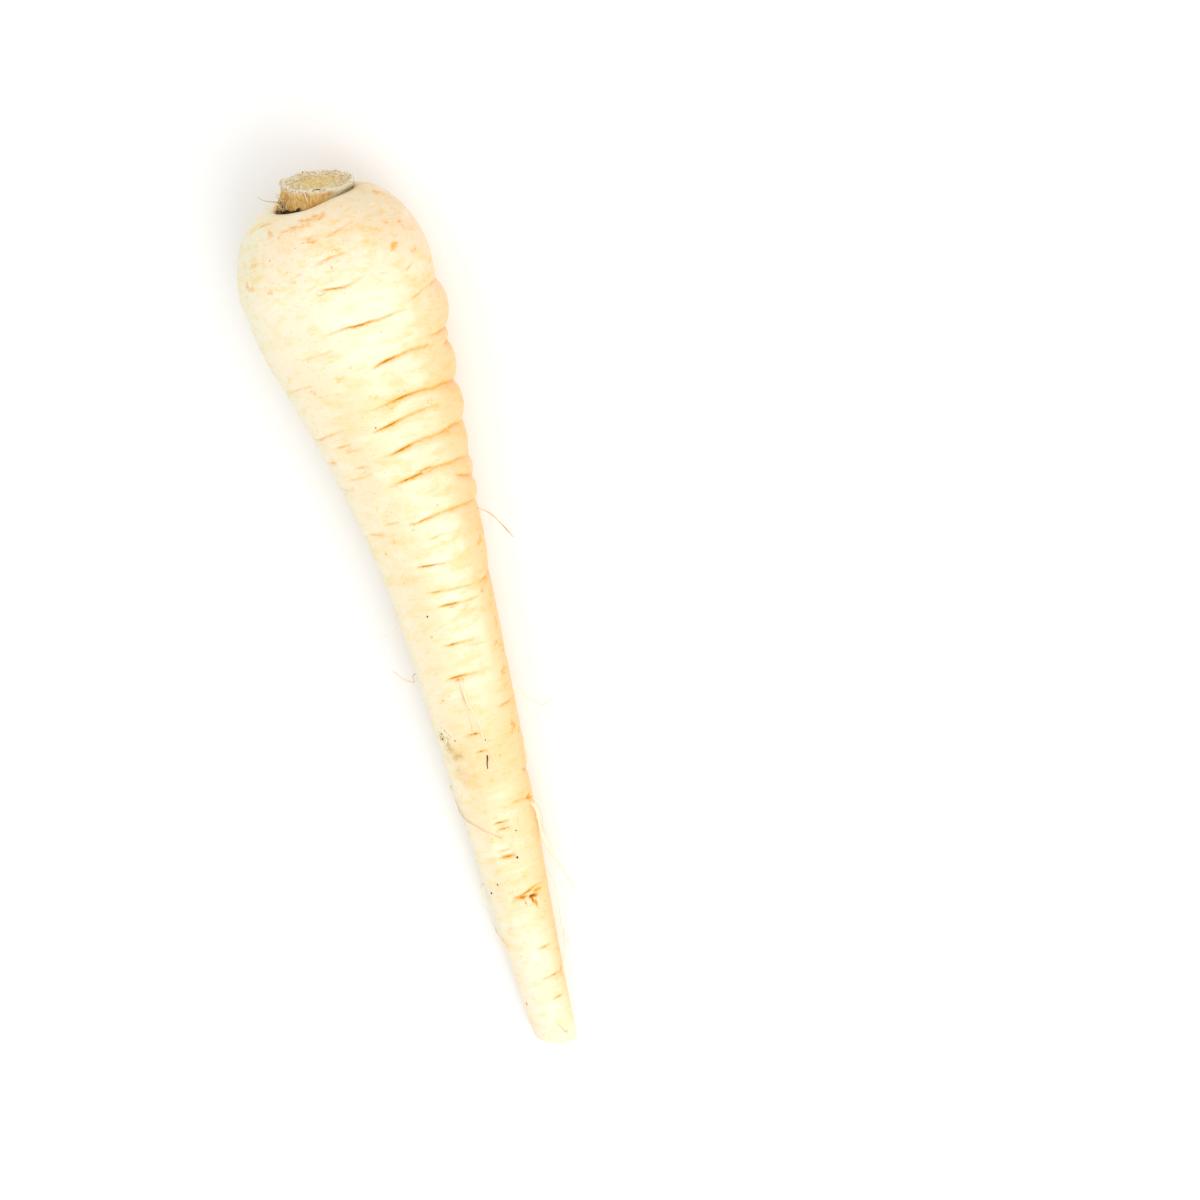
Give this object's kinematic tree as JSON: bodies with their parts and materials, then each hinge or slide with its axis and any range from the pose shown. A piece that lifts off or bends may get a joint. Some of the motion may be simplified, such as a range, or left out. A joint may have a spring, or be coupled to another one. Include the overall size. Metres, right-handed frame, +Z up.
{
  "type": "parsnip",
  "caption": "Tapered cream taproot lying on its side, with a round shoulder, crosswise wrinkles, fine side roots, a cut tip and the cut stump of its leaf stalks.",
  "frame": {"origin": "middle of the outer box, on the surface that the root lies on", "axes": "+X from the crown to the tip, +Z up"},
  "size_m": [0.2328, 0.0494, 0.0482],
  "materials": {
    "skin": "smooth, slightly waxy cream root skin",
    "stump": "matt, fibrous, drying leaf stalk"
  },
  "bodies": {
    "root": {"taproot": "skin", "leaf_stump": "stump"}
  },
  "joints": []
}
